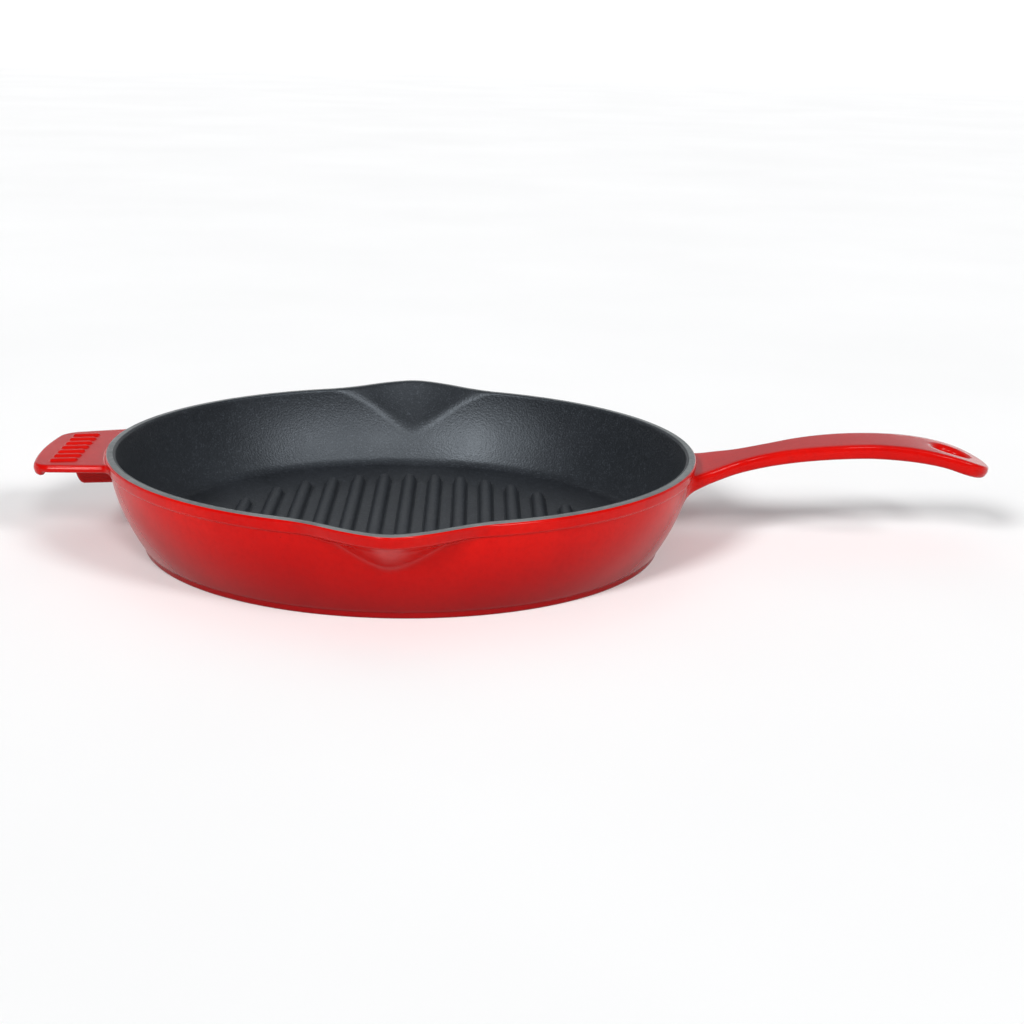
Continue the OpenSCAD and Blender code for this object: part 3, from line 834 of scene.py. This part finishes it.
def helper_gusset():
    """The block under the plate, with round corners and a fillet to the bowl."""
    out, half, depth, taper = 157.0, 12.0, 11.6, 3.0
    top_z = HELPER_TOP - HELPER_T
    low_z = top_z - depth
    round_r, flare, across = 2.6, 1.6, 8

    def edge(x, inset=0.0):
        """The left edge of a section, from inside the plate down to the bottom; the block leans in."""
        w = half - inset
        points = [[w + flare, top_z + 0.8], [w + flare, top_z + 0.02]]
        points += [[w + flare * (1 - math.sin(a)), top_z - flare * (1 - math.cos(a))]
                   for a in np.linspace(0.2, math.pi / 2, 5)]
        points += [[w, top_z - flare - (depth - flare - round_r - inset) * t] for t in (0.35, 0.7)]
        points += [[w - round_r * (1 - math.cos(a)), low_z + inset + round_r * (1 - math.sin(a))]
                   for a in np.linspace(0, math.pi / 2, 6)]
        return [[x - taper * max(0.0, top_z - z) / depth, y, z] for y, z in points]
    end_r = 2.4                                # rounding of the end that points away from the bowl
    edges = [edge(out - end_r * (1 - math.cos(a)), end_r * (1 - math.sin(a)))
             for a in np.linspace(0, math.pi / 2, 6)]
    edges += [edge(x) for x in np.arange(out - 4.0, 120, -1.0)]
    shell = Shell()
    loops = wall_join([tipped(section_loop(e, across)) for e in edges], lambda up: 2.4)
    rows = [shell.add(loop) for loop in loops]
    shell.grid(rows, wrap=True)
    for row, settle in ((rows[0], None), (rows[-1], onto_wall)):
        top, right, under, left = loop_sides(row, across, len(edges[0]))
        shell.patch(top, under, left, right, settle=settle)
    new_piece("helper_gusset_casting", mirrored(shell), RED, ("helper_gusset",))


def grip_bars():
    """Seven plain raised bars across the short handle's plate."""
    count, pitch, length, width, rise = 7, 8.4, 13.0, 3.6, 1.1
    middle_x, w = HELPER_X - 16.0, width / 2
    section = [[0, -0.4], [w + 0.5, -0.4], [w + 0.5, 0], [w + 0.2, 0.06], [w, 0.25], [w - 0.14, 0.5],
               [w - 0.42, 0.78], [w - 0.85, 0.97], [w - 1.35, 1.06], [0, rise]]
    shell = Shell()
    for i in range(count):
        loaf(shell, middle_x, (i - (count - 1) / 2) * pitch, length / 2 - w,
             [(r, HELPER_TOP + z) for r, z in section], False, lengthwise=6)
    shell.points = tipped(shell.points).tolist()
    new_piece("helper_grip_bar_castings", mirrored(shell), RED, ("helper_grip_bars",))


long_handle()
helper_plate()
helper_gusset()
grip_bars()


# ---------------------------------------------------------------- floor, light and camera
def floor():
    """A wide pale floor that turns up far away, so that no horizon shows."""
    mat, nodes, links, shader = new_material("studio_floor")
    at = object_point(nodes)
    pale = tones(nodes, links, noise(nodes, links, at, 3, 3), (0.3, (0.90,) * 3), (0.7, (0.93,) * 3))
    links.new(pale, shader.inputs["Base Color"])
    shader.inputs["Roughness"].default_value = 0.9
    shader.inputs["Specular IOR Level"].default_value = 0.1
    flat, bend = 9.0, 1.6                      # m: radius of its flat part, and of the turn up round it
    profile = [(0, 0), (1, 0), (3, 0), (6, 0)] + [tuple(p) for p in arc(flat, bend, bend, -90, -20, 10)]
    angles = np.linspace(0, 2 * math.pi, 97)[:-1]
    rings = [[(r * math.cos(a), r * math.sin(a), z) for a in angles] for r, z in profile]
    sheet = Shell()
    sheet.grid([sheet.add(ring) for ring in rings], wrap=True)
    mesh = bpy.data.meshes.new("studio_floor")
    mesh.from_pydata(sheet.points, [], sheet.faces)
    for polygon in mesh.polygons:
        polygon.use_smooth = True
    mesh.materials.append(mat)
    ground = bpy.data.objects.new("studio_floor", mesh)
    bpy.context.scene.collection.objects.link(ground)


def aim(holder, towards):
    """Turns a lamp towards a point and adds it to the scene."""
    holder.rotation_euler = (Vector(towards) - holder.location).to_track_quat("-Z", "Y").to_euler()
    bpy.context.scene.collection.objects.link(holder)


def broad_light(name, azimuth, elevation, strength, spread):
    """Even light from one side of the room; azimuth is measured from -Y towards +X, in degrees."""
    lamp = bpy.data.lights.new(name, "SUN")
    lamp.energy = strength
    lamp.angle = math.radians(spread)
    holder = bpy.data.objects.new(name, lamp)
    a, e = math.radians(azimuth), math.radians(elevation)
    away = 3
    holder.location = (away * math.sin(a) * math.cos(e), -away * math.cos(a) * math.cos(e),
                       away * math.sin(e))
    aim(holder, (0, 0, 0))


def studio():
    """A dim room with a pale backdrop low down behind the pan, and soft light mostly from the front."""
    dim, pale = 0.09, 0.52
    world = bpy.data.worlds.new("studio")
    world.use_nodes = True
    nodes, links = world.node_tree.nodes, world.node_tree.links
    split = nodes.new("ShaderNodeSeparateXYZ")
    links.new(nodes.new("ShaderNodeTexCoord").outputs["Generated"], split.inputs["Vector"])
    behind = remap(nodes, links, split.outputs["Y"], 0.0, 0.6, 0.0, 1.0)
    low_down = remap(nodes, links, split.outputs["Z"], 0.30, 0.70, 1.0, 0.0)
    level = remap(nodes, links, times(nodes, links, behind, low_down), 0.0, 1.0, dim, pale)
    background = nodes["Background"]
    background.inputs["Color"].default_value = (0.93, 0.96, 1.0, 1)
    links.new(level, background.inputs["Strength"])
    bpy.context.scene.world = world
    broad_light("key", -32, 31, 2.4, 14)
    broad_light("front", 15, 31, 1.0, 12)
    broad_light("fill", 48, 32, 1.45, 16)
    broad_light("overhead", 0, 84, 0.28, 70)
    broad_light("back", 185, 48, 0.24, 40)


def camera():
    """Just above the rim, a little to the right of square on and rolled a hair."""
    pitch, yaw, roll = (math.radians(a) for a in (15.57, 1.41, 1.45))
    target, distance = Vector((0.05272, 0, 0.01332)), 0.86635
    forward = Vector((math.sin(yaw) * math.cos(pitch), math.cos(yaw) * math.cos(pitch), -math.sin(pitch)))
    side = Vector((math.cos(yaw), -math.sin(yaw), 0))
    up = side.cross(forward)
    cam_x = side * math.cos(roll) + up * math.sin(roll)
    cam_y = up * math.cos(roll) - side * math.sin(roll)
    lens = bpy.data.cameras.new("camera")
    lens.lens = 62.76
    lens.sensor_width = 36
    lens.clip_start = 0.01
    viewer = bpy.data.objects.new("camera", lens)
    turn = Matrix((cam_x, cam_y, -forward)).transposed().to_4x4()
    viewer.matrix_world = Matrix.Translation(target - forward * distance) @ turn
    bpy.context.scene.collection.objects.link(viewer)
    bpy.context.scene.camera = viewer


floor()
studio()
camera()
bpy.context.scene.view_settings.view_transform = "Standard"
